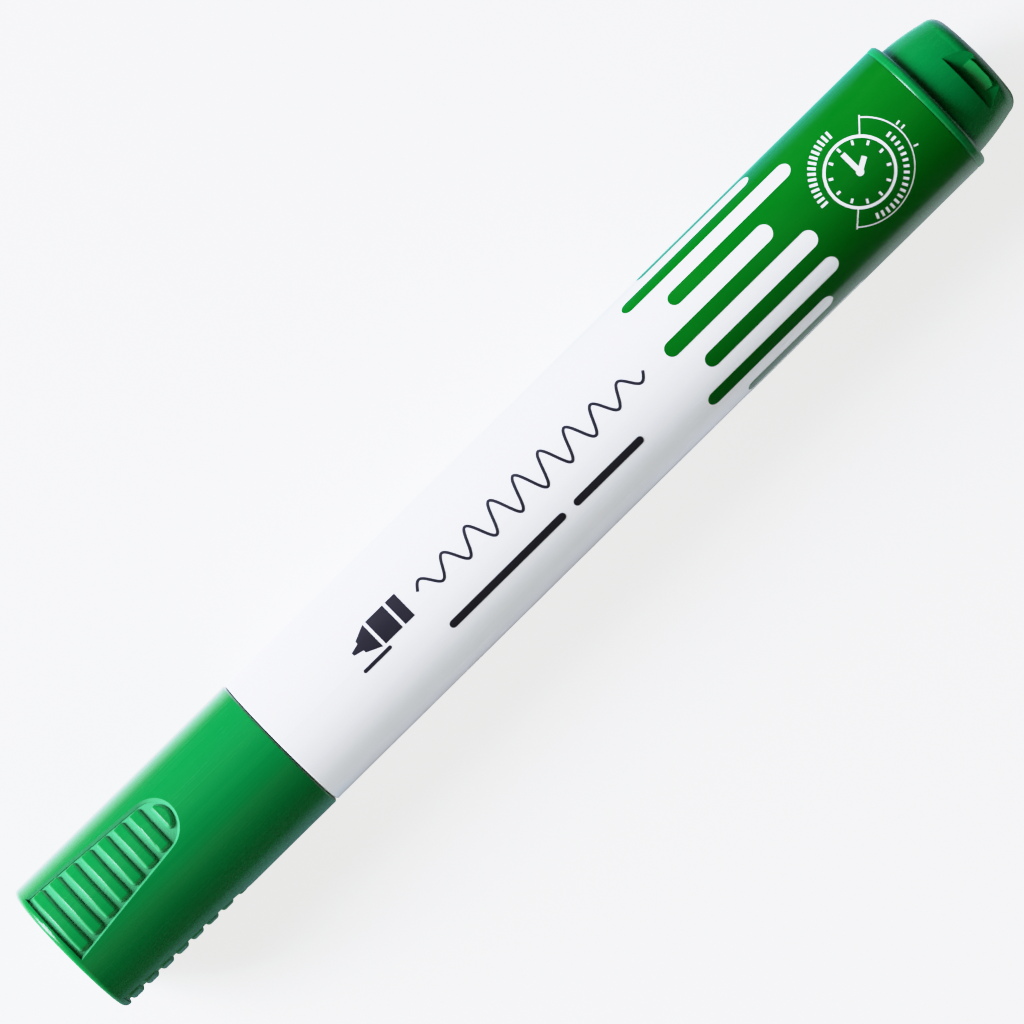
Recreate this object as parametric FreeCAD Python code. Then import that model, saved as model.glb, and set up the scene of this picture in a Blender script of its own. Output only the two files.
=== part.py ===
"""A whiteboard marker with a pull-off cap, a fibre ink reservoir and a pry-off end plug.

The marker is turned about its long axis. Lengths along that axis are stations, in
millimetres from the outer face of the cap's closed end. Each part is modelled about the
X axis by station and then moved, so that the closed marker lies along X on z = 0 with
x = 0 at the middle of its length. Angles round the axis run from +Z (up) towards +Y.
"""

import FreeCAD
import Part
import math
import os

V = FreeCAD.Vector
X_AXIS = V(1, 0, 0)

# Driving dimensions, mm.
total_length = 134.5
body_radius = 8.5          # cap and collar
barrel_radius = 8.45
film_thickness = 0.03      # each printed layer
touch = 0.05               # radial clearance between parts that slide apart

# Stations along the axis.
cap_mouth = 31.2
barrel_front = 31.35
barrel_rear = 126.15
stub_front = 127.35
plug_end = total_length

# Barrel.
barrel_bore = 7.4
rib_count = 6
barrel_rib_width = 0.8
barrel_rib_radius = 6.7    # inner edge of the ribs that centre the reservoir
barrel_ribs_front = 42.4
barrel_ribs_rear = 115.9
edge_break = 0.15

# Cap.
cap_bore = 7.35
cap_wall_end = 1.6
cap_edge_round = 0.6
cap_rib_count = 8
cap_rib_width = 0.8
cap_ribs_end = 14.4
end_recess_radius = 5.6
end_recess_depth = 0.3
gate_radius = 0.9
gate_depth = 0.25

# Grip panels: three tapering pockets with cross ribs, sunk in the cap's wall.
grip_count = 3
grip_angle = 23.0          # of the first panel
grip_start = 0.8
grip_tip = 18.48
grip_half_width = 4.48     # at the start, across the flat outline inside the bevel
grip_taper = 5.9           # degrees that each side draws in
grip_depth = 0.4
grip_margin = 0.1          # pocket floor left free round the ribs
grip_rib_count = 7
grip_rib_width = 1.65
grip_rib_corner = 0.45     # of a rib's outline
grip_rib_round = 0.42      # of a rib's top edge
grip_pad_start = 16.87     # station of the D-shaped pad's straight side
grip_pad_half_width = 1.95
grip_rib_pitch = 2.2
grip_rib_first = 2.09      # station of the first rib's middle
grip_bevel = 0.32          # round a panel's rim, all but its straight start

# Inner cap, the cup that seals round the snout.
inner_cap_radius = 6.4
inner_cap_bore = 5.6
inner_cap_floor = 1.0
inner_cap_mouth = 16.4
inner_cap_flange = 6.9

# Front section: nib socket, snout, neck and the spigot that plugs the barrel.
snout_face = 11.4
snout_radius = 5.2
snout_nose_radius = 3.75
snout_rear = 19.9
neck_front = 21.6
neck_radius = 7.15
snap_station = 26.4
snap_bead = 0.13           # height of the snap bead above the neck
spigot_rear = 41.4
spigot_wall = 1.1
socket_rear = 23.4
socket_wall = 1.1
vent_count = 4
vent_width = 0.8
vent_depth = 0.6

# Nib.
nib_radius = 2.5
nib_tip = 6
nib_bullet = 4.6           # length of the bullet
nib_tip_radius = 1.15
nib_tail = 45.4
nib_tail_taper = 1.6

# Reservoir.
core_radius = 6.5
wrap_thickness = 0.15
reservoir_front = spigot_rear
reservoir_rear = 116.4
wrap_setback = 0.6

# End plug.
plug_front = 116.6
plug_spigot_radius = 7.36
plug_bead = 0.02
plug_bead_length = 0.8
plug_beads = [119.6, 122.6]
plug_wall = 1.1
collar_lead = 0.35         # length of the rolled front edge
collar_step = 0.14         # by how much that edge starts lower
collar_round = 0.5         # rear edge
stub_root = 0.15           # fillet between collar and stub
stub_radius = 7.42
stub_shoulder_radius = 6.6
stub_shoulder = 132.7
stub_corner = 1.15
stub_dome = 0.36
stub_bulge = 0.12          # of the stub's side
plug_cavity_radius = 5.0
plug_end_wall = 1.8
flat_count = 2
flat_angle = -12.0         # of the first flat
flat_height = 5.85         # of the flats above the axis
flat_front = 131.05
tab_front = 132.05         # the tab's ramp rises from the flat
tab_rear = 133.2
tab_width = 3.65
tab_rise = 0.55
tab_offset = -0.2          # of the tab across the flat
tab_gap = 0.35             # notch behind the ramp
tab_gap_depth = 0.45

# Printed pattern: fingers of print and bare plastic that interlock along the barrel.
finger_count = 14
first_bare_finger = -60.2  # degrees
bare_tips = [105.5, 108.5, 108.7, 105.8, 111.8, 108.0, 109.6]
print_tips = [88.4, 91.0, 88.7, 92.7, 88.6, 92.1, 92.5]
finger_edge = 0.35         # by how much a bare finger is wider than a printed one
print_rear = barrel_rear

# Clock badge left bare in the print. Its circles are round on the barrel's surface.
badge_station = 116.5
badge_angle = 0.0
badge_radius = 4.0
badge_line = 0.36
hand_width = 0.6
hour_hand = 1.7
minute_hand = 2.6
hour_marks = 12
hour_mark_length = 0.5
hour_mark_width = 0.28
sector_radius = 6.1
sector_line = 0.17
sector_from = -137.0       # degrees in the badge's own plane, from +X towards +Y
sector_to = 46.0
ray_angles = [2.0, 8.0, -19.0]
ray_length = 0.55
ray_width = 0.2
scale_mark_width = 0.3
outer_scale = [4.6, 5.5, 178.0, 85.0, 15]     # radii of the marks' ends, angles, number of marks
inner_scale = [4.6, 5.25, -112.0, 8.0, 17]

# Dark marks: a picture of a marker's point, a wavy line and two straight ones.
point_sign_front = 42.9
point_sign_angle = 8.5
point_sign_length = 8.0
point_sign_height = 3.2
wave_front = 52.8
wave_rear = 85.8
wave_angle = 8.0
wave_line = 0.34
wave_height = 1.7          # half of the full height
wave_count = 9
stroke_angle = -27.0
stroke_height = 0.95
strokes = [[52.7, 69.5], [70.9, 80.9]]


def at(station, radius):
    """A point of a turned profile."""
    return V(station, 0, radius)


def rod(front, rear, radius):
    """A solid cylinder round the axis."""
    return Part.makeCylinder(radius, rear - front, V(front, 0, 0), X_AXIS)


def ring(front, rear, inner, outer):
    return rod(front, rear, outer).cut(rod(front - 1, rear + 1, inner))


def turned(edges):
    """The solid that a closed profile of edges makes when turned about the axis."""
    face = Part.Face(Part.Wire(Part.__sortEdges__(edges)))
    return face.revolve(V(0, 0, 0), X_AXIS, 360)


def lines(points):
    """Straight edges from point to point."""
    return [Part.makeLine(a, b) for a, b in zip(points, points[1:])]


def arc(a, middle, b):
    return Part.Arc(a, middle, b).toShape()


def quarter(a, b, corner):
    """A rounded corner from a to b, tangent to the lines a-corner and corner-b."""
    centre = a + b - corner
    middle = centre + (corner - centre) * math.sqrt(0.5)
    return arc(a, middle, b)


def roll(a, b):
    """An arc from a that ends at b, where it runs along the axis."""
    along = b.x - a.x
    rise = b.z - a.z
    radius = (along ** 2 + rise ** 2) / (2 * rise)
    half = math.asin(along / radius) / 2
    middle = at(b.x - radius * math.sin(half), b.z - radius * (1 - math.cos(half)))
    return arc(a, middle, b)


def dome(rim, apex):
    """An arc from the rim to the apex, of a circle whose middle is on the axis."""
    rise = abs(apex.x - rim.x)
    radius = (rim.z ** 2 + rise ** 2) / (2 * rise)
    side = 1 if apex.x > rim.x else -1
    centre = apex.x - side * radius
    half = math.asin(rim.z / radius) / 2
    return arc(rim, at(centre + side * radius * math.cos(half), radius * math.sin(half)), apex)


def turn(shape, degrees):
    """The shape turned about the axis, from +Z towards +Y."""
    copy = shape.copy()
    copy.rotate(V(0, 0, 0), X_AXIS, -degrees)
    return copy


def spread(shape, count, first=0.0):
    """Copies of the shape, evenly spaced round the axis."""
    return [turn(shape, first + k * 360.0 / count) for k in range(count)]


def slab(front, rear, width, low, high, middle=0.0):
    """A block above the axis, across the +Z direction."""
    return Part.makeBox(rear - front, width, high - low, V(front, middle - width / 2, low))


def post(station, across, radius, low, high):
    """A round post that stands on the +Z direction."""
    return Part.makeCylinder(radius, high - low, V(station, across, low), V(0, 0, 1))


def upright(shape):
    """The shape's straight edges that run along Z."""
    return [e for e in shape.Edges if e.BoundBox.XLength < 0.001 and e.BoundBox.YLength < 0.001]


def soften(shape, radius, chosen):
    """The shape with each chosen edge rounded, or as it was where that fails."""
    edges = [e for e in shape.Edges if chosen(e)]
    try:
        rounded = shape.makeFillet(radius, edges)
    except Exception:
        rounded = None
    if rounded is None or not rounded.isValid() or rounded.Volume <= 0:
        print("not rounded:", radius, len(edges), "edges")
        return shape
    return rounded


# ---------------------------------------------------------------- cap

def grip_outline():
    """The tongue-shaped outline of a grip panel, as a solid prism through the cap's wall."""
    slope = math.radians(grip_taper)
    tip_radius = (grip_half_width - (grip_tip - grip_start) * math.tan(slope)) * math.cos(slope)
    tip_radius /= 1 - math.sin(slope)
    centre = grip_tip - tip_radius
    side_end = centre + tip_radius * math.sin(slope)
    side_width = tip_radius * math.cos(slope)
    low = 4.0
    a = V(grip_start, -grip_half_width, low)
    b = V(side_end, -side_width, low)
    tip = V(grip_tip, 0, low)
    c = V(side_end, side_width, low)
    d = V(grip_start, grip_half_width, low)
    outline = Part.Wire([Part.makeLine(a, b), arc(b, tip, c), Part.makeLine(c, d), Part.makeLine(d, a)])
    return Part.Face(outline).extrude(V(0, 0, body_radius))


def on_surface(edge):
    """True for an edge that lies on the cap's outer surface, between the ends of a grip panel."""
    box = edge.BoundBox
    if box.XMin < grip_start - 0.05 or box.XMax > grip_tip + 0.05:
        return False
    radii = [math.hypot(p.y, p.z) for p in edge.discretize(5)]
    return all(abs(r - body_radius) < 0.01 for r in radii)


def on_rim(edge):
    """True for an edge of a grip panel's rim, apart from its straight start."""
    return on_surface(edge) and edge.BoundBox.XLength > 0.1


def grip_rib(prism):
    """A rib or pad of that outline, rooted in the cap's wall, with a rounded top edge."""
    wall = ring(0, cap_mouth, body_radius - grip_depth - 0.2, body_radius)
    return soften(prism.common(wall), grip_rib_round, on_surface)


def grip_ribs():
    """What stands in a pocket: the cross ribs, and the D-shaped pad at the tip."""
    slope = math.tan(math.radians(grip_taper))
    low, high = 4.0, body_radius + 4.0
    made = []
    for k in range(grip_rib_count):
        station = grip_rib_first + k * grip_rib_pitch
        reach = grip_half_width - (station + grip_rib_width / 2 - grip_start) * slope - grip_margin
        rib = slab(station - grip_rib_width / 2, station + grip_rib_width / 2, 2 * reach, low, high)
        made.append(grip_rib(rib.makeFillet(grip_rib_corner, upright(rib))))
    a = V(grip_pad_start, -grip_pad_half_width, low)
    b = V(grip_pad_start, grip_pad_half_width, low)
    crown = arc(a, V(grip_tip - grip_margin, 0, low), b)
    pad = Part.Face(Part.Wire([crown, Part.makeLine(b, a)])).extrude(V(0, 0, high - low))
    made.append(grip_rib(pad.makeFillet(grip_rib_corner, upright(pad))))
    return made


def make_cap():
    shell = turned(lines([at(0, 0), at(0, body_radius - cap_edge_round)])
                   + [quarter(at(0, body_radius - cap_edge_round), at(cap_edge_round, body_radius),
                              at(0, body_radius))]
                   + lines([at(cap_edge_round, body_radius), at(cap_mouth - edge_break, body_radius),
                            at(cap_mouth, body_radius - edge_break), at(cap_mouth, 0), at(0, 0)]))
    cavity = turned(lines([at(cap_wall_end, 0), at(cap_wall_end, cap_bore - 0.15),
                           at(cap_mouth - 12, cap_bore), at(cap_mouth - 0.4, cap_bore),
                           at(cap_mouth, cap_bore + 0.3), at(cap_mouth + 1, cap_bore + 0.3),
                           at(cap_mouth + 1, 0), at(cap_wall_end, 0)]))
    inner_rib = slab(cap_wall_end - 0.2, cap_ribs_end, cap_rib_width, inner_cap_radius, cap_bore + 0.3)
    shell = shell.cut(cavity)
    shell = shell.fuse(spread(inner_rib, cap_rib_count)).removeSplitter()
    snap_groove = ring(snap_station - 0.7, snap_station + 0.7, 1.0, cap_bore + 0.15)
    shell = shell.cut(snap_groove)
    recess = rod(-1, end_recess_depth, end_recess_radius)
    gate = rod(-1, end_recess_depth + gate_depth, gate_radius)
    shell = shell.cut([recess, gate])
    wall = ring(-1, cap_mouth, body_radius - grip_depth, body_radius + 3)
    pocket = grip_outline().common(wall)
    shell = shell.cut(spread(pocket, grip_count, grip_angle))
    shell = shell.makeChamfer(grip_bevel, [e for e in shell.Edges if on_rim(e)])
    ribs = []
    for rib in grip_ribs():
        ribs += spread(rib, grip_count, grip_angle)
    return shell.fuse(ribs)


def make_inner_cap():
    floor = cap_wall_end + inner_cap_floor
    lip = snout_radius + touch
    return turned(lines([
        at(cap_wall_end, 0), at(cap_wall_end, inner_cap_radius - 0.3),
        at(cap_wall_end + 0.3, inner_cap_radius), at(cap_ribs_end, inner_cap_radius),
        at(cap_ribs_end, inner_cap_flange), at(cap_ribs_end + 0.8, inner_cap_flange),
        at(cap_ribs_end + 1.1, inner_cap_radius), at(inner_cap_mouth, inner_cap_radius),
        at(inner_cap_mouth, lip + 0.45), at(inner_cap_mouth - 0.5, lip),
        at(inner_cap_mouth - 1.3, lip), at(inner_cap_mouth - 2.0, inner_cap_bore),
        at(floor + 0.8, inner_cap_bore), at(floor, inner_cap_bore - 0.8), at(floor, 0),
        at(cap_wall_end, 0)]))


# ---------------------------------------------------------------- body

def make_barrel():
    tube = turned(lines([
        at(barrel_front, barrel_bore + 0.1), at(barrel_front, barrel_radius - edge_break),
        at(barrel_front + edge_break, barrel_radius), at(barrel_rear, barrel_radius),
        at(barrel_rear, barrel_bore + 0.1),
        at(barrel_rear - 0.3, barrel_bore), at(barrel_front + 0.3, barrel_bore),
        at(barrel_front, barrel_bore + 0.1)]))
    rib = slab(barrel_ribs_front, barrel_ribs_rear, barrel_rib_width, barrel_rib_radius,
               barrel_bore + 0.3)
    return tube.fuse(spread(rib, rib_count)).removeSplitter()


def make_front_section():
    spigot_bore = barrel_bore - spigot_wall
    nose = 3.0
    bead = [at(snap_station - 0.6, neck_radius), at(snap_station, neck_radius + snap_bead),
            at(snap_station + 0.6, neck_radius)]
    outer = (lines([at(snout_face, nib_radius), at(snout_face, snout_nose_radius)])
             + [arc(at(snout_face, snout_nose_radius), at(snout_face + 0.95, snout_nose_radius + 1.02),
                    at(snout_face + nose, snout_radius))]
             + lines([at(snout_face + nose, snout_radius), at(snout_rear, snout_radius),
                      at(neck_front - 0.3, neck_radius - 0.35), at(neck_front + 0.5, neck_radius),
                      bead[0]])
             + [arc(*bead)]
             + lines([bead[2], at(barrel_front, neck_radius), at(barrel_front, barrel_bore - 0.1),
                      at(barrel_front + 0.4, barrel_bore), at(spigot_rear - 0.5, barrel_bore),
                      at(spigot_rear, barrel_bore - 0.3), at(spigot_rear, spigot_bore),
                      at(socket_rear + 7, spigot_bore), at(socket_rear - 2, nib_radius + socket_wall + 0.6),
                      at(socket_rear, nib_radius + socket_wall), at(socket_rear, nib_radius),
                      at(snout_face, nib_radius)]))
    section = turned(outer)
    vent = slab(snout_face - 1, socket_rear + 1, vent_width, 1.0, nib_radius + vent_depth)
    return section.cut(spread(vent, vent_count, 45))


def make_nib():
    shoulder = nib_tip + nib_bullet
    a = at(nib_tip, 0)
    c = at(nib_tip + nib_tip_radius * 0.62, nib_tip_radius * 1.13)
    flank = Part.BSplineCurve()
    flank.interpolate([c, at(nib_tip + 2.5, 2.14), at(shoulder, nib_radius)])
    tail = nib_tail - nib_tail_taper
    return turned([dome(c, a), flank.toShape()]
                  + lines([at(shoulder, nib_radius), at(tail, nib_radius), at(nib_tail, 1.3),
                           at(nib_tail, 0), a]))


def make_reservoir_core():
    core = turned(lines([at(reservoir_front, 0), at(reservoir_front, core_radius - 0.2),
                         at(reservoir_front + 0.2, core_radius), at(reservoir_rear - 0.2, core_radius),
                         at(reservoir_rear, core_radius - 0.2), at(reservoir_rear, 0),
                         at(reservoir_front, 0)]))
    return core.cut(make_nib())


def make_reservoir_wrap():
    return ring(reservoir_front + wrap_setback, reservoir_rear - wrap_setback, core_radius,
                core_radius + wrap_thickness)


# ---------------------------------------------------------------- end plug

def stub_profile():
    """The outer edges of the plug behind the barrel, and the last point, on the axis."""
    front = at(barrel_rear, body_radius - collar_step)
    top = at(barrel_rear + collar_lead, body_radius)
    back = at(stub_front - collar_round, body_radius)
    face = at(stub_front, body_radius - collar_round)
    root = at(stub_front, stub_radius + stub_root)
    side = at(stub_front + stub_root, stub_radius)
    shoulder = at(stub_shoulder, stub_shoulder_radius)
    rim = at(plug_end - stub_dome, stub_shoulder_radius - stub_corner)
    end = at(plug_end, 0)
    bulge = at((side.x + shoulder.x) / 2, (side.z + shoulder.z) / 2 + stub_bulge)
    corner = at(stub_shoulder + 0.98, stub_shoulder_radius - 0.42)
    edges = [roll(front, top), quarter(back, face, at(stub_front, body_radius)),
             quarter(root, side, at(stub_front, stub_radius)),
             arc(side, bulge, shoulder), arc(shoulder, corner, rim), dome(rim, end)]
    return edges + lines([top, back]) + lines([face, root]), end


def tab_block():
    """The tab on a flat: a ramp, a notch behind it and the lug that runs on to the end."""
    low = flat_height
    top = low + tab_rise
    outline = [(tab_front, low - 1), (tab_front, low), (tab_rear, top), (tab_rear, top - tab_gap_depth),
               (tab_rear + tab_gap, top - tab_gap_depth), (tab_rear + tab_gap, top),
               (plug_end + 2, top), (plug_end + 2, low - 1), (tab_front, low - 1)]
    edge = tab_offset - tab_width / 2
    side = Part.makePolygon([V(station, edge, height) for station, height in outline])
    return Part.Face(side).extrude(V(0, tab_width, 0))


def make_end_plug():
    edges, end = stub_profile()
    bore = plug_spigot_radius - plug_wall
    bead = plug_spigot_radius + plug_bead
    spigot = [at(plug_front, bore), at(plug_front, plug_spigot_radius - 0.4),
              at(plug_front + 0.8, plug_spigot_radius)]
    for front in plug_beads:
        rear = front + plug_bead_length
        spigot += [at(front, plug_spigot_radius), at(front + 0.2, bead), at(rear - 0.2, bead),
                   at(rear, plug_spigot_radius)]
    spigot += [at(barrel_rear, plug_spigot_radius), at(barrel_rear, body_radius - collar_step)]
    cavity_end = plug_end - plug_end_wall
    inside = lines([end, at(cavity_end, 0), at(cavity_end, plug_cavity_radius - 0.6),
                    at(cavity_end - 0.6, plug_cavity_radius), at(stub_front - 0.5, plug_cavity_radius),
                    at(stub_front - 2.0, bore), at(plug_front, bore)])
    plug = turned(lines(spigot) + edges + inside)
    flat = slab(flat_front, plug_end + 1, 4 * body_radius, flat_height, 2 * body_radius)
    return plug.cut(spread(flat.cut(tab_block()), flat_count, flat_angle))


# ---------------------------------------------------------------- print

def finger(tip, angle, width):
    """A radial cutter with a round end at the tip, open towards the cap."""
    low, high = barrel_radius - 2, barrel_radius + 2
    front = barrel_front - 1
    body = slab(front, tip - width / 2, width, low, high)
    return turn(body.fuse(post(tip - width / 2, 0, width / 2, low, high)), angle)


def finger_front(tip, angle, width, span):
    """Removes what lies in front of a printed finger, and leaves the finger's tip round."""
    low, high = barrel_radius - 2, barrel_radius + 2
    body = slab(barrel_front - 1, tip + width / 2, span, low, high)
    return turn(body.cut(post(tip + width / 2, 0, width / 2, low, high)), angle)


def disc(radius):
    """A cutter for a disc that is round on the barrel's surface, standing on the +Z direction."""
    half_height = barrel_radius * math.sin(radius / barrel_radius)
    outline = Part.Ellipse(V(0, 0, barrel_radius - 3), radius, half_height).toShape()
    return Part.Face(Part.Wire(outline)).extrude(V(0, 0, 5))


def bar(length, width, degrees, start=0.0):
    """A straight cutter that runs outwards from the badge's middle."""
    block = Part.makeBox(length, width, 5, V(start, -width / 2, barrel_radius - 3))
    block.rotate(V(0, 0, 0), V(0, 0, 1), degrees)
    return block


def wedge(start, end):
    """A cutter over all that lies between two angles in the badge's own plane."""
    low = barrel_radius - 3
    steps = 8
    rim = []
    for k in range(steps + 1):
        angle = math.radians(start + (end - start) * k / steps)
        rim.append(V(12 * math.cos(angle), 12 * math.sin(angle), low))
    middle = V(0, 0, low)
    return Part.Face(Part.makePolygon([middle] + rim + [middle])).extrude(V(0, 0, 5))


def band(inner, outer, start=None, end=None):
    """A ring, or the part of one between two angles, as a cutter round the badge's middle."""
    whole = disc(outer).cut(disc(inner))
    if start is None:
        return whole
    return whole.common(wedge(min(start, end), max(start, end)))


def badge():
    """A clock face with a sector outline and dashed arcs, as cutters for the print."""
    hub = Part.makeCylinder(hand_width * 0.75, 5, V(0, 0, barrel_radius - 3))
    hands = bar(hour_hand, hand_width, 30).fuse(bar(minute_hand, hand_width, 90))
    outline = band(sector_radius - sector_line, sector_radius, sector_from, sector_to)
    for angle in (sector_from, sector_to):
        outline = outline.fuse(bar(sector_radius - badge_radius, sector_line, angle, badge_radius - 0.1))
    frame = band(badge_radius - badge_line, badge_radius).fuse(outline)
    cutters = [frame, hands.fuse(hub)]
    mark_start = badge_radius - badge_line - 0.25 - hour_mark_length
    for k in range(hour_marks):
        cutters.append(bar(hour_mark_length, hour_mark_width, k * 360.0 / hour_marks, mark_start))
    for angle in ray_angles:
        cutters.append(bar(ray_length, ray_width, angle, sector_radius + 0.12))
    for inner, outer, start, end, count in (outer_scale, inner_scale):
        for k in range(count):
            angle = start + (end - start) * k / (count - 1)
            cutters.append(bar(outer - inner, scale_mark_width, angle, inner))
    for cutter in cutters:
        cutter.translate(V(badge_station, 0, 0))
    return [turn(cutter, badge_angle) for cutter in cutters]


def pill(front, rear, height, middle=0.0):
    """A straight stroke with round ends, standing on the +Z direction."""
    radius = height / 2
    low, high = barrel_radius - 3, barrel_radius + 2
    stroke = slab(front + radius, rear - radius, height, low, high, middle)
    for station in (front + radius, rear - radius):
        stroke = stroke.fuse(post(station, middle, radius, low, high))
    return stroke.removeSplitter()


def wave():
    """A wavy stroke whose height swells towards its middle."""
    length = wave_rear - wave_front
    low = barrel_radius - 3
    steps = wave_count * 16

    def height(s):
        swell = 0.45 + 0.55 * math.sin(math.pi * s / length)
        return wave_height * swell * math.sin(2 * math.pi * wave_count * s / length)

    sides = ([], [])
    for k in range(steps + 1):
        s = length * k / steps
        slope = (height(s + 0.01) - height(s - 0.01)) / 0.02
        size = math.hypot(1, slope)
        for side, sign in zip(sides, (1, -1)):
            across = height(s) + sign * wave_line / 2 / size
            along = wave_front + s - sign * wave_line / 2 * slope / size
            side.append(V(along, across, low))
    curves = []
    for side in sides:
        curve = Part.BSplineCurve()
        curve.interpolate(side)
        curves.append(curve.toShape())
    ends = [Part.makeLine(sides[0][0], sides[1][0]), Part.makeLine(sides[0][-1], sides[1][-1])]
    outline = Part.Wire(Part.__sortEdges__(curves + ends))
    return Part.Face(outline).extrude(V(0, 0, 5))


def point_sign():
    """A marker's point seen from the side, on a short written line."""
    front = point_sign_front
    half = point_sign_height / 2
    low = barrel_radius - 3
    body_front = front + point_sign_length * 0.42
    neck = front + point_sign_length * 0.2
    nib_front = front + point_sign_length * 0.06
    outline = [V(front + point_sign_length, -half, low), V(front + point_sign_length, half, low),
               V(body_front, half, low), V(neck, half * 0.5, low), V(neck, half * 0.3, low),
               V(nib_front, half * 0.12, low), V(nib_front, -half * 0.12, low),
               V(neck, -half * 0.3, low), V(neck, -half * 0.5, low), V(body_front, -half, low)]
    sign = Part.Face(Part.makePolygon(outline + outline[:1])).extrude(V(0, 0, 5))
    gap = point_sign_length * 0.05
    for share in (0.42, 0.78):
        station = front + point_sign_length * share
        sign = sign.cut(slab(station, station + gap, 2 * point_sign_height, low - 1, low + 6))
    line = pill(front, front + point_sign_length * 0.5, 0.42, -half - 0.55)
    return [sign, line]


def make_marks_print():
    film = ring(point_sign_front - 1, wave_rear + 1, barrel_radius, barrel_radius + film_thickness)
    marks = [turn(shape, point_sign_angle) for shape in point_sign()]
    marks.append(turn(wave(), wave_angle))
    marks += [turn(pill(front, rear, stroke_height), stroke_angle) for front, rear in strokes]
    pieces = []
    for mark in marks:
        pieces += film.common(mark).Solids
    return Part.makeCompound(pieces)


def make_pattern_print():
    pitch = 360.0 / finger_count
    chord = 2 * barrel_radius * math.sin(math.radians(pitch / 2))
    bare_width = chord / 2 + finger_edge / 2
    print_width = chord / 2 - finger_edge / 2
    film = ring(min(print_tips) - 1, print_rear, barrel_radius, barrel_radius + film_thickness)
    cutters = []
    for k in range(finger_count):
        angle = first_bare_finger + k * pitch
        cutters.append(finger(bare_tips[k % len(bare_tips)], angle, bare_width))
        tip = print_tips[k % len(print_tips)]
        cutters.append(finger_front(tip, angle + pitch / 2, print_width, chord))
    film = film.cut(cutters)
    film = film.cut(badge())
    return Part.makeCompound(film.Solids)


# ---------------------------------------------------------------- export

makers = {
    "cap_shell": make_cap,
    "inner_cap": make_inner_cap,
    "barrel": make_barrel,
    "front_section": make_front_section,
    "nib": make_nib,
    "reservoir_core": make_reservoir_core,
    "reservoir_wrap": make_reservoir_wrap,
    "end_plug": make_end_plug,
    "pattern_print": make_pattern_print,
    "marks_print": make_marks_print,
}

os.makedirs("parts", exist_ok=True)
for name, make in makers.items():
    shape = make()
    shape.translate(V(-total_length / 2, 0, body_radius))
    if not shape.isValid():
        print(name, "is not valid")
    print(f"{name}: {len(shape.Solids)} solid(s), {shape.Volume:.1f} mm3, "
          f"x {shape.BoundBox.XMin:.2f} to {shape.BoundBox.XMax:.2f}, "
          f"z {shape.BoundBox.ZMin:.3f} to {shape.BoundBox.ZMax:.3f}")
    shape.exportStep(f"parts/{name}.step")
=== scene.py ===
"""The looks of a whiteboard marker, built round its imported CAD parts."""

import math

import bpy
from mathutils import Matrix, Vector


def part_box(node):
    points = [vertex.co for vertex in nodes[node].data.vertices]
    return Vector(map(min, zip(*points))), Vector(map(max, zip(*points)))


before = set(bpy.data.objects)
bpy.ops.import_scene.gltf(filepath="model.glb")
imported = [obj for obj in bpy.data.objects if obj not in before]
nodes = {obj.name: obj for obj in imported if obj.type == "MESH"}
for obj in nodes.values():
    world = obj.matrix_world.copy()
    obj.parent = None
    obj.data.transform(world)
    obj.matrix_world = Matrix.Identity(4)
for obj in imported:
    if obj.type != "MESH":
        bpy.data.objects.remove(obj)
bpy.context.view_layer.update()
scene = bpy.context.scene

MM = 0.001

# Places on the marker, which lies along X with the cap's closed end lowest.
cap_low, cap_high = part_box("cap_shell")
AXIS_HEIGHT = (cap_low.z + cap_high.z) / 2
BODY_RADIUS = (cap_high.z - cap_low.z) / 2
CAP_MOUTH = cap_high.x
BARREL_MIDDLE = 0.0
PRINT_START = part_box("pattern_print")[0].x
PRINT_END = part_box("pattern_print")[1].x

# The cap's sunk grip panels, a little longer than their outline.
GRIP_DEPTH = 0.4 * MM
GRIP_START = cap_low.x + 0.7 * MM
GRIP_END = cap_low.x + 19.0 * MM
GRIP_FLOOR = BODY_RADIUS - GRIP_DEPTH


# ---------------------------------------------------------------- materials

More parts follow.
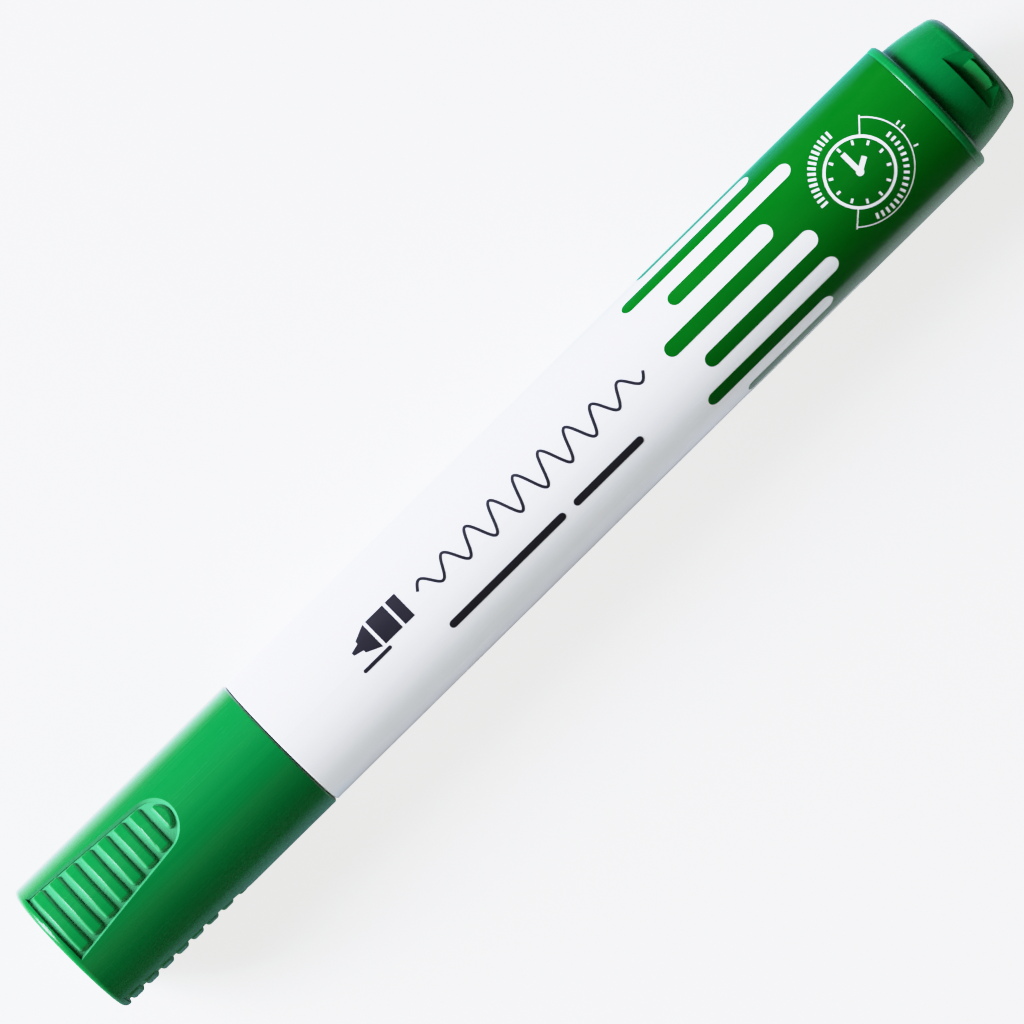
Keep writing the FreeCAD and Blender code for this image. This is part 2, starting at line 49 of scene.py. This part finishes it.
class Shader:
    """A node material with one Principled shader, and short names for the nodes added to it."""

    def __init__(self, name):
        self.material = bpy.data.materials.new(name)
        self.material.use_nodes = True
        self.tree = self.material.node_tree
        self.bsdf = self.tree.nodes["Principled BSDF"]
        self.place = self.add("ShaderNodeTexCoord").outputs["Object"]
        self.normal = None

    def set(self, **values):
        """Gives the shader's own sockets uniform values."""
        for name, value in values.items():
            self.bsdf.inputs[name.replace("_", " ")].default_value = value

    def add(self, kind, **settings):
        """Adds a node. A setting is one of its inputs or else one of its properties."""
        node = self.tree.nodes.new(kind)
        for name, value in settings.items():
            if name in node.inputs:
                node.inputs[name].default_value = value
            else:
                setattr(node, name, value)
        return node

    def link(self, source, target):
        self.tree.links.new(source, target)

    def wear(self, name, source):
        """Feeds one of the shader's inputs."""
        self.link(source, self.bsdf.inputs[name])

    def math(self, operation, *values):
        node = self.add("ShaderNodeMath", operation=operation)
        for socket, value in zip(node.inputs, values):
            if isinstance(value, (int, float)):
                socket.default_value = value
            else:
                self.link(value, socket)
        return node.outputs[0]

    def product(self, first, second):
        return self.math("MULTIPLY", first, second)

    def span(self, value, low, high, to_low=0.0, to_high=1.0):
        """A value carried from one range smoothly into another."""
        node = self.add("ShaderNodeMapRange", interpolation_type="SMOOTHSTEP")
        self.link(value, node.inputs["Value"])
        for name, number in (("From Min", low), ("From Max", high), ("To Min", to_low), ("To Max", to_high)):
            node.inputs[name].default_value = number
        return node.outputs["Result"]

    def mix(self, share, first, second):
        """A colour between two others, each a colour or the output of a node."""
        node = self.add("ShaderNodeMix", data_type="RGBA")
        self.link(share, node.inputs["Factor"])
        for socket, value in ((node.inputs[6], first), (node.inputs[7], second)):
            if isinstance(value, tuple):
                socket.default_value = (*value, 1.0)
            else:
                self.link(value, socket)
        return node.outputs[2]

    def noise(self, size, stretch=(1, 1, 1), detail=3.0, roughness=0.5):
        """Noise whose features are about that size in metres, longer along an axis by its stretch."""
        scale = self.add("ShaderNodeVectorMath", operation="MULTIPLY")
        self.link(self.place, scale.inputs[0])
        scale.inputs[1].default_value = [1 / (size * s) for s in stretch]
        node = self.add("ShaderNodeTexNoise", Scale=1.0, Detail=detail, Roughness=roughness)
        self.link(scale.outputs[0], node.inputs["Vector"])
        return node.outputs["Fac"]

    def specks(self, spacing, radius, share):
        """One in small round specks: a share of the cells of a Voronoi pattern holds one each."""
        cells = self.add("ShaderNodeTexVoronoi", Scale=1 / spacing)
        self.link(self.place, cells.inputs["Vector"])
        near = self.math("LESS_THAN", cells.outputs["Distance"], radius / spacing)
        pick = self.add("ShaderNodeSeparateColor")
        self.link(cells.outputs["Color"], pick.inputs[0])
        return self.product(near, self.math("LESS_THAN", pick.outputs[0], share))

    def bump(self, height, depth):
        """Adds relief of that depth in metres to the normal."""
        node = self.add("ShaderNodeBump", Strength=1.0, Distance=depth)
        self.link(height, node.inputs["Height"])
        if self.normal is not None:
            self.link(self.normal, node.inputs["Normal"])
        self.normal = node.outputs["Normal"]
        self.wear("Normal", self.normal)

    def from_axis(self):
        """The vector from the marker's long axis straight out to the surface."""
        flat = self.add("ShaderNodeVectorMath", operation="MULTIPLY_ADD")
        self.link(self.place, flat.inputs[0])
        flat.inputs[1].default_value = (0, 1, 1)
        flat.inputs[2].default_value = (0, 0, -AXIS_HEIGHT)
        return flat.outputs[0]

    def radius(self):
        """The distance from the marker's long axis."""
        length = self.add("ShaderNodeVectorMath", operation="LENGTH")
        self.link(self.from_axis(), length.inputs[0])
        return length.outputs["Value"]

    def facing_out(self):
        """1 where the surface faces straight away from the long axis, less on walls and rib flanks."""
        away = self.add("ShaderNodeVectorMath", operation="NORMALIZE")
        self.link(self.from_axis(), away.inputs[0])
        dot = self.add("ShaderNodeVectorMath", operation="DOT_PRODUCT")
        self.link(away.outputs[0], dot.inputs[0])
        self.link(self.add("ShaderNodeTexCoord").outputs["Normal"], dot.inputs[1])
        return dot.outputs["Value"]

    def position(self, axis):
        """The position along X, Y or Z."""
        parts = self.add("ShaderNodeSeparateXYZ")
        self.link(self.place, parts.inputs[0])
        return parts.outputs[axis]


def tint(colour, factor):
    """A lighter or darker shade of a colour."""
    return tuple(c * factor for c in colour)


GREEN = (0.0, 0.205, 0.032)
# The cap's green, painted a little lighter for the end plug as painted light against its shade.
PLUG_GREEN_PAINTED_LIGHTER = tint(GREEN, 1.12)
# Paler green of the cap's panels: partly their spark finish, partly a painted sheen and highlight.
FINISH_AND_SHEEN_GREEN = (0.03, 0.31, 0.1)
WHITE = (0.86, 0.88, 0.91)
MILKY = (0.7, 0.73, 0.7)
DUST = (0.6, 0.7, 0.65)
NIB_GREEN = (0.004, 0.12, 0.03)
RESERVOIR_GREEN = (0.012, 0.22, 0.06)
FILM_DARK = (0.3, 0.52, 0.4)
FILM_LIGHT = (0.62, 0.76, 0.68)
INK_GREEN = (0.0, 0.153, 0.005)
INK_DARK = (0.016, 0.014, 0.02)

# Roughness of the polished plastics, and how the green one reflects.
GREEN_GLOSS = 0.25
WHITE_GLOSS = 0.24
PLASTIC_IOR = 1.49
GREEN_REFLECTION = 0.38


def moulded(name, colour, gloss, variation=0.035, relief=1.0e-6):
    """Glossy moulded plastic: flow streaks along the marker, soft mottling, dust and fine scuffs."""
    shader = Shader(name)
    streaks = shader.noise(0.35 * MM, (60, 1, 1), detail=4.0)
    mottle = shader.noise(5 * MM, (2, 1, 1), detail=2.0)
    both = shader.math("ADD", shader.product(streaks, 0.55), shader.product(mottle, 0.45))
    even = shader.mix(shader.span(both, 0.3, 0.7), tint(colour, 1 - variation), tint(colour, 1 + variation))
    dust = shader.specks(2.2 * MM, 0.05 * MM, 0.12)
    shader.colour = shader.mix(shader.product(dust, 0.35), even, DUST)
    shader.wear("Base Color", shader.colour)
    scuffs = shader.noise(0.12 * MM, (14, 1, 1), detail=2.0)
    worn = shader.product(shader.span(scuffs, 0.62, 0.74), shader.span(mottle, 0.45, 0.65))
    polish = shader.span(streaks, 0.3, 0.7, gloss - 0.02, gloss + 0.03)
    shader.rough = shader.math("ADD", polish, shader.product(worn, 0.14))
    shader.wear("Roughness", shader.rough)
    shader.bump(shader.noise(1.4 * MM, (3, 1, 1), detail=2.0), relief * 4)
    shader.bump(shader.noise(0.16 * MM, (1.5, 1, 1), detail=3.0), relief)
    return shader


def make_plug_plastic():
    """The green plastic of the end plug: the cap's same green painted a little brighter, painted light that
    lightens the plug's shade.
    """
    shader = moulded("green_plastic", PLUG_GREEN_PAINTED_LIGHTER, GREEN_GLOSS)
    shader.set(IOR=PLASTIC_IOR, Specular_IOR_Level=GREEN_REFLECTION)
    return shader.material


def make_cap_plastic():
    """The green plastic of the cap, duller on the spark-finished floors and walls of its panels, and paler
    there: on the floors partly the finish and partly a painted sheen, on walls, bevels and rib flanks a
    painted highlight that also lightens their shade.
    """
    shader = moulded("green_plastic_cap", GREEN, GREEN_GLOSS)
    radius = shader.radius()
    facing = shader.facing_out()
    place = shader.position("X")

    # A mask that is 1 along the panels' length and outside the shell's inner wall.
    after_start = shader.span(place, GRIP_START - 0.1 * MM, GRIP_START + 0.1 * MM)
    before_end = shader.span(place, GRIP_END, GRIP_END + 0.2 * MM, 1.0, 0.0)
    outer_wall = shader.span(radius, GRIP_FLOOR - 0.25 * MM, GRIP_FLOOR - 0.1 * MM)
    panel = shader.product(shader.product(after_start, before_end), outer_wall)

    # Masks for a panel's floor and for what leans away from the round body: walls, bevels and rib flanks.
    sunk = shader.span(radius, GRIP_FLOOR + 0.14 * MM, GRIP_FLOOR + 0.36 * MM, 1.0, 0.0)
    # Painted highlight: walls, bevels and lower rib flanks are made paler, which also lightens the shade on
    # walls turned from the lamps.
    wall = shader.span(facing, 0.78, 0.93, 0.85, 0.0)
    flank = shader.span(facing, 0.88, 0.98, 1.0, 0.0)
    finish_and_sheen_area = shader.product(panel, shader.math("MAXIMUM", sunk, wall))
    dull_area = shader.product(panel, shader.math("MAXIMUM", sunk, flank))

    # The pale colour is partly the floors' spark finish and partly painted sheen and highlight.
    grain = shader.noise(0.1 * MM, detail=2.0)
    pale = shader.mix(shader.span(grain, 0.3, 0.7), tint(FINISH_AND_SHEEN_GREEN, 0.85), tint(FINISH_AND_SHEEN_GREEN, 1.15))
    shader.wear("Base Color", shader.mix(finish_and_sheen_area, shader.colour, pale))
    shader.wear("Roughness", shader.math("ADD", shader.rough, shader.product(dull_area, 0.36)))
    shader.bump(shader.product(grain, finish_and_sheen_area), 6e-6)
    shader.set(IOR=PLASTIC_IOR, Specular_IOR_Level=GREEN_REFLECTION)
    return shader.material


def make_white_plastic():
    """White polypropylene, very slightly cool, with faint flow streaks."""
    shader = moulded("white_plastic", WHITE, WHITE_GLOSS, variation=0.01, relief=0.9e-6)
    shader.set(IOR=PLASTIC_IOR)
    return shader.material


def make_natural_plastic():
    """Uncoloured polyethylene: milky, waxy and a little cloudy."""
    shader = moulded("natural_plastic", MILKY, 0.42, variation=0.04, relief=3e-6)
    shader.set(Subsurface_Weight=0.6, Subsurface_Scale=1.5 * MM, Subsurface_Radius=(1.0, 1.0, 1.0))
    return shader.material


def make_fibres(name, colour, thickness, relief):
    """Bonded fibres that run along the marker, darker between them."""
    shader = Shader(name)
    strands = shader.noise(thickness, (30, 1, 1), detail=3.0, roughness=0.65)
    tufts = shader.noise(6 * thickness, (4, 1, 1), detail=2.0)
    share = shader.product(shader.span(strands, 0.25, 0.75), shader.span(tufts, 0.1, 0.8, 0.6, 1.0))
    shader.wear("Base Color", shader.mix(share, tint(colour, 0.55), tint(colour, 1.35)))
    shader.wear("Roughness", shader.span(strands, 0.2, 0.8, 0.95, 0.7))
    shader.bump(strands, relief)
    shader.set(Sheen_Weight=0.15, Sheen_Roughness=0.5)
    return shader.material


def make_reservoir_film():
    """Thin film, wrinkled lengthwise, in the colour that the wet fibres under it give it."""
    shader = Shader("reservoir_film")
    wrinkles = shader.noise(0.8 * MM, (12, 1, 1), detail=2.0)
    shader.wear("Base Color", shader.mix(shader.span(wrinkles, 0.35, 0.65), FILM_DARK, FILM_LIGHT))
    shader.wear("Roughness", shader.span(shader.noise(2 * MM), 0.3, 0.7, 0.12, 0.25))
    shader.bump(wrinkles, 2e-5)
    shader.set(Coat_Weight=0.5)
    return shader.material


def make_ink(name, colour, gloss, spread):
    """Printed ink: a slightly uneven film with a fine screen grain and pinholes."""
    shader = Shader(name)
    grain = shader.noise(0.09 * MM, detail=2.0)
    clouds = shader.noise(3 * MM, (3, 1, 1), detail=2.0)
    both = shader.math("ADD", shader.product(grain, 0.5), shader.product(clouds, 0.5))
    even = shader.mix(shader.span(both, 0.35, 0.65), tint(colour, 1 - spread), tint(colour, 1 + spread))
    pinholes = shader.specks(1.3 * MM, 0.035 * MM, 0.1)
    shader.wear("Base Color", shader.mix(shader.product(pinholes, 0.4), even, tint(WHITE, 0.6)))
    shader.wear("Roughness", shader.span(clouds, 0.3, 0.7, gloss - 0.02, gloss + 0.05))
    shader.bump(grain, 1e-6)
    return shader.material


white_plastic = make_white_plastic()
finish_of = {
    "cap_shell": make_cap_plastic(),
    "inner_cap": make_natural_plastic(),
    "barrel": white_plastic,
    "front_section": white_plastic,
    "nib": make_fibres("nib_fibre", NIB_GREEN, thickness=0.07 * MM, relief=1.5e-5),
    "reservoir_core": make_fibres("reservoir_fibre", RESERVOIR_GREEN, thickness=0.12 * MM, relief=3e-5),
    "reservoir_wrap": make_reservoir_film(),
    "end_plug": make_plug_plastic(),
    "pattern_print": make_ink("print_green", INK_GREEN, gloss=0.18, spread=0.04),
    "marks_print": make_ink("print_dark", INK_DARK, gloss=0.35, spread=0.12),
}
for name, material in finish_of.items():
    nodes[name].data.materials.clear()
    nodes[name].data.materials.append(material)


# ---------------------------------------------------------------- floor and cards

FLOOR_SIZE = 6.0
FLOOR_GLOW = 0.85             # added to the floor's light for the camera only
CARD_LEVEL = 0.2 * MM         # of the glowing cards, above the floor
GLOWING_HALF_LENGTH = 0.2
BLACK_HALF_LENGTH = 0.3


def make_floor():
    """A pale floor, made about twice as bright to the camera as the lamps make it, so its shadow is soft."""
    bpy.ops.mesh.primitive_plane_add(size=FLOOR_SIZE, location=(0, 0, 0))
    floor = bpy.context.object
    floor.name = "floor"
    shader = Shader("floor_paper")
    shader.set(Base_Color=(0.9, 0.9, 0.9, 1.0), Roughness=1.0)
    shader.set(Specular_IOR_Level=0.0, Emission_Color=(1.0, 1.0, 1.0, 1.0))
    seen = shader.add("ShaderNodeLightPath").outputs["Is Camera Ray"]
    shader.wear("Emission Strength", shader.product(seen, FLOOR_GLOW))
    floor.data.materials.append(shader.material)


def card_shader(name):
    """A black that reflects nothing."""
    shader = Shader(name)
    shader.set(Base_Color=(0.0, 0.0, 0.0, 1.0), Roughness=1.0, Specular_IOR_Level=0.0)
    return shader


def add_card(name, corners, shader):
    """A card beside the marker that shows only in its reflections."""
    card = bpy.data.objects.new(name, bpy.data.meshes.new(name))
    card.data.from_pydata(corners, [], [(0, 1, 2, 3)])
    card.data.materials.append(shader.material)
    scene.collection.objects.link(card)
    card.visible_camera = False
    card.visible_diffuse = False
    card.visible_transmission = False
    card.visible_shadow = False


def black_card(name, distance, height):
    """A standing black card, parallel to the marker and a distance along Y from its axis."""
    half = BLACK_HALF_LENGTH
    corners = [(-half, distance, 0), (half, distance, 0), (half, distance, height), (-half, distance, height)]
    add_card(name, corners, card_shader(name))


def colour_ramp(shader, stops):
    """A smooth ramp through (position, shade) stops, where a shade is a colour or a grey."""
    node = shader.add("ShaderNodeValToRGB")
    ramp = node.color_ramp
    ramp.interpolation = "EASE"
    while len(ramp.elements) < len(stops):
        ramp.elements.new(0.5)
    for element, (position, shade) in zip(ramp.elements, stops):
        element.position = position
        element.color = (*shade, 1.0) if isinstance(shade, tuple) else (shade, shade, shade, 1.0)
    return node


def glowing_card(name, near, far, along, across, strength, rim_white):
    """A lying card between two distances along Y. Its colour follows stops of (X, colour), and its glow
    follows stops from its near edge, 0, to its far edge, 1. The near edge turns white by rim_white."""
    half = GLOWING_HALF_LENGTH
    shader = card_shader(name)
    colour = colour_ramp(shader, [((x + half) / (2 * half), shade) for x, shade in along])
    glow = colour_ramp(shader, across)
    share = shader.math("DIVIDE", shader.math("ADD", shader.position("X"), half), 2 * half)
    depth = shader.math("DIVIDE", shader.math("SUBTRACT", shader.position("Y"), near), far - near)
    shader.link(share, colour.inputs[0])
    shader.link(depth, glow.inputs[0])
    edge = shader.product(shader.span(depth, 0.0, 0.15, 1.0, 0.0), rim_white)
    shader.wear("Emission Color", shader.mix(edge, colour.outputs[0], (1.0, 1.0, 1.0)))
    shader.wear("Emission Strength", shader.product(glow.outputs[0], strength))
    level = CARD_LEVEL
    corners = [(-half, near, level), (half, near, level), (half, far, level), (-half, far, level)]
    add_card(name, corners, shader)


# The glowing cards give the marker's two long edges their reflections. Their colours change along it.
make_floor()
black_card("black_card_upper", distance=33 * MM, height=15 * MM)
black_card("black_card_lower", distance=-34 * MM, height=200 * MM)
glowing_card(
    "white_card_upper", near=9 * MM, far=33 * MM, strength=3.9, rim_white=0.25,
    along=[
        (CAP_MOUTH, (0.8, 0.76, 1.0)),
        (BARREL_MIDDLE, (0.4, 0.5, 0.6)),
        (PRINT_START, (0.04, 0.25, 0.3)),
        (PRINT_END, (0.05, 0.28, 0.34)),
        (PRINT_END + 6 * MM, (0.1, 0.3, 0.38)),
    ],
    across=[(0.0, 1.0), (0.25, 0.92), (0.55, 0.72), (0.8, 0.55), (1.0, 0.25)])
glowing_card(
    "grey_card_lower", near=-9 * MM, far=-34 * MM, strength=1.3, rim_white=0.0,
    along=[
        (CAP_MOUTH, (0.2, 0.33, 0.44)),
        (CAP_MOUTH + 4 * MM, (0.3, 0.31, 0.36)),
        (BARREL_MIDDLE, (0.3, 0.31, 0.36)),
        (PRINT_START, (0.54, 0.58, 0.68)),
        (PRINT_END + 4 * MM, (0.6, 0.7, 0.75)),
    ],
    across=[(0.0, 0.5), (0.3, 0.95), (0.7, 0.95), (1.0, 0.5)])


# ---------------------------------------------------------------- light

WORLD_LIGHT = 0.036


def softbox(name, position, size, power, colour):
    """A rectangular lamp that shines at the marker's middle."""
    light = bpy.data.lights.new(name, "AREA")
    light.shape = "RECTANGLE"
    light.size, light.size_y = size
    light.energy = power
    light.color = colour
    lamp = bpy.data.objects.new(name, light)
    lamp.location = position
    lamp.rotation_euler = (-Vector(position)).to_track_quat("-Z", "Y").to_euler()
    scene.collection.objects.link(lamp)
    return lamp


softbox("key", position=(-0.7, 0.6, 0.42), size=(0.5, 0.7), power=30.0, colour=(0.96, 1.0, 1.35))
softbox("fill", position=(-0.45, -0.5, 0.62), size=(0.5, 0.5), power=1.4, colour=(1.0, 1.0, 0.7))

# Thin white plastic lets light through and evens out its own shade; this lamp reaches only it.
translucence = softbox(
    "translucence", position=(-0.45, -0.16, 0.72), size=(0.6, 0.6), power=4.1, colour=(1.0, 1.0, 0.95))
white_parts = bpy.data.collections.new("white_parts")
for name in ("barrel", "front_section"):
    white_parts.objects.link(nodes[name])
translucence.light_linking.receiver_collection = white_parts

world = bpy.data.worlds.new("studio")
world.use_nodes = True
background = world.node_tree.nodes["Background"]
background.inputs["Color"].default_value = (1, 1, 1, 1)
background.inputs["Strength"].default_value = WORLD_LIGHT
scene.world = world


# ---------------------------------------------------------------- camera

CAMERA_DISTANCE = 0.85        # above the marker's axis
CAMERA_OVER = (-1.56 * MM, 0.2 * MM)    # from the marker's middle, along X and Y
CAMERA_LENS = 283.3
CAMERA_TURN = -44.58          # degrees; the marker crosses the picture from corner to corner

camera_data = bpy.data.cameras.new("camera")
camera_data.sensor_width = 36.0
camera_data.lens = CAMERA_LENS
camera_data.clip_start = 0.05
camera = bpy.data.objects.new("camera", camera_data)
camera.location = (*CAMERA_OVER, AXIS_HEIGHT + CAMERA_DISTANCE)
camera.rotation_euler = (0, 0, math.radians(CAMERA_TURN))
scene.collection.objects.link(camera)
scene.camera = camera

# A film's shoulder: light is shown as it is up to the first stop, then ever flatter up to the brightest.
SHOULDER = [(0.68, 0.68), (0.9, 0.79), (1.2, 0.855), (1.7, 0.905), (2.5, 0.945), (3.4, 0.975)]
BRIGHTEST = 4.0


def soften_highlights():
    """Shows the picture through the shoulder curve."""
    view = scene.view_settings
    view.view_transform = "Standard"
    view.use_curve_mapping = True
    mapping = view.curve_mapping
    mapping.white_level = (BRIGHTEST, BRIGHTEST, BRIGHTEST)
    combined = mapping.curves[3]
    for light, shown in SHOULDER:
        combined.points.new(light / BRIGHTEST, shown)
    for point in combined.points:
        point.handle_type = "VECTOR"
    mapping.update()


soften_highlights()
